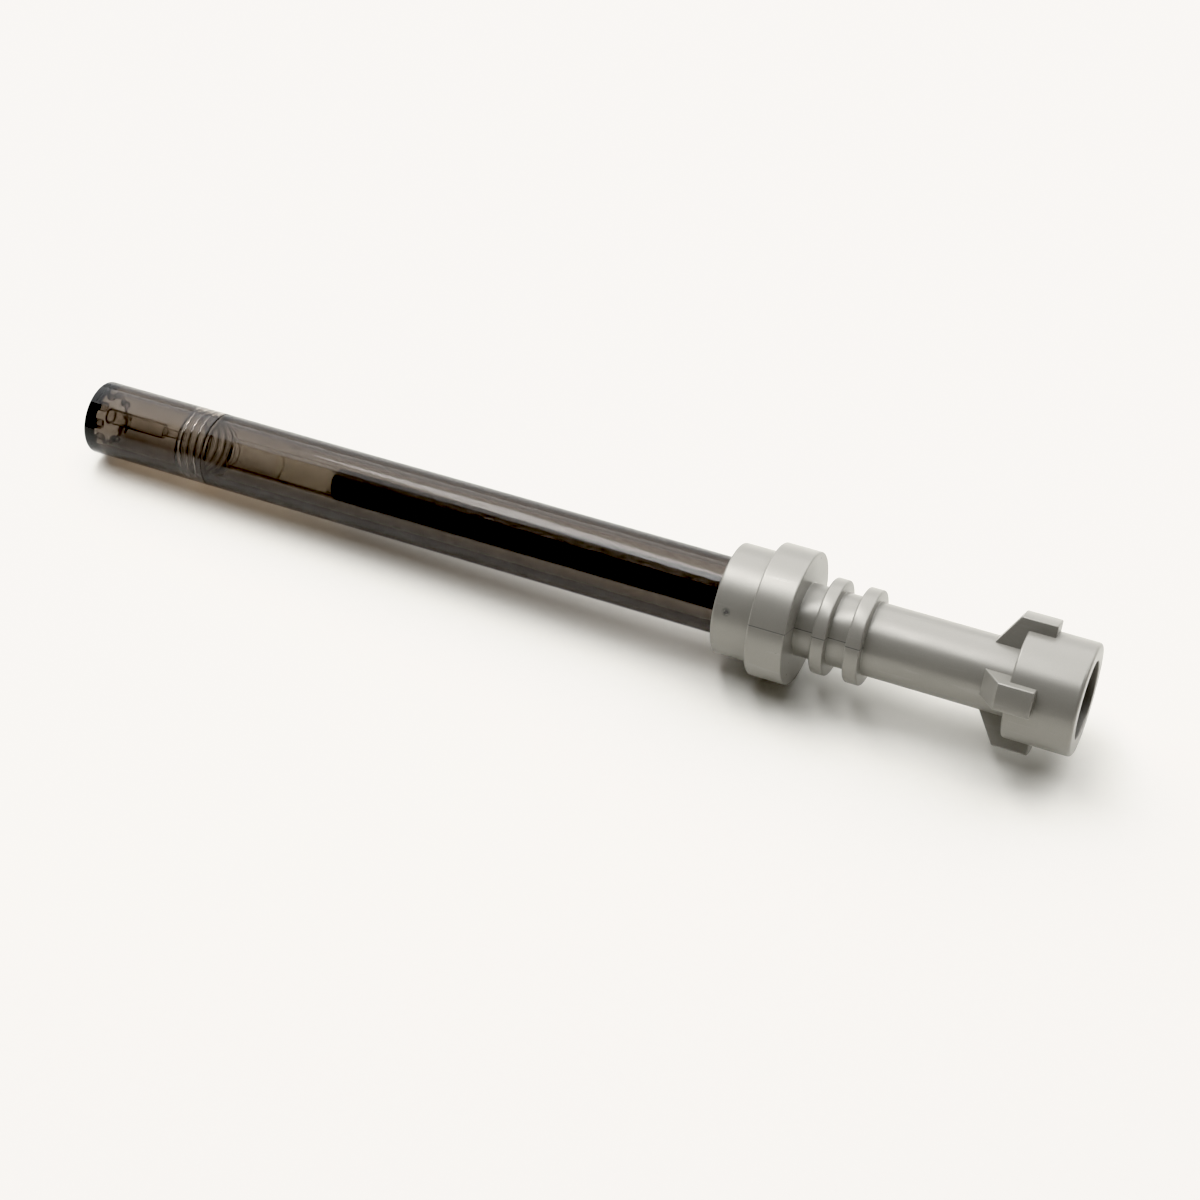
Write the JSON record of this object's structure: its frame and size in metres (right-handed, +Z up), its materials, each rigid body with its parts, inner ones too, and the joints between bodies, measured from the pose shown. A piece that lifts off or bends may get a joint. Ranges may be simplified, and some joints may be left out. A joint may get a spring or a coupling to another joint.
{
  "type": "capped gel pen",
  "caption": "Capped gel pen with a smoke-clear barrel, visible refill, screw-on tail cap and a silver stepped, lugged pull-off grip cap.",
  "frame": {"origin": "under the middle of the pen's length, at the height of the widest collar's underside", "axes": "+X along the pen from its tail end to the grip cap's open head, +Z up, +Y to the left of +X"},
  "size_m": [0.152, 0.0188, 0.0189],
  "materials": {
    "smoke_plastic": "polished transparent smoke grey-brown",
    "silver_plastic": "satin silver-grey",
    "refill_plastic": "smooth translucent natural",
    "follower_grease": "clear gel",
    "black_ink": "wet black",
    "liner_plastic": "smooth milky",
    "point_steel": "turned",
    "seal_rubber": "matt"
  },
  "bodies": {
    "barrel": {"barrel": "smoke_plastic"},
    "refill": {"refill_tube": "refill_plastic", "ink_follower": "follower_grease", "ink_column": "black_ink", "tip_adapter": "refill_plastic", "tip_housing": "point_steel"},
    "tail_cap": {"tail_cap": "smoke_plastic"},
    "tip_ball": {"tip_ball": "point_steel"},
    "grip_cap": {"grip_cap": "silver_plastic", "inner_cap": "liner_plastic", "tip_seal": "seal_rubber"}
  },
  "joints": [
    {"name": "cap_pull", "type": "slide", "parent": "barrel", "child": "grip_cap", "axis": [1, 0, 0], "range_m": [0, 0.045]},
    {"name": "tail_travel", "type": "slide", "parent": "barrel", "child": "refill", "axis": [-1, 0, 0], "range_m": [0, 0.0042]},
    {"name": "tail_turn", "type": "hinge", "parent": "refill", "child": "tail_cap", "pos_m": [-0.06578, 0, 0.00945], "axis": [-1, 0, 0], "range_deg": [0, 1260]},
    {"name": "ball_roll", "type": "hinge", "parent": "refill", "child": "tip_ball", "pos_m": [0.06197, 0, 0.00945], "axis": [0, 1, 0], "continuous": true}
  ],
  "couplings": [
    {"joint": "tail_turn", "follows": "tail_travel", "rad_per_m": 5236}
  ]
}
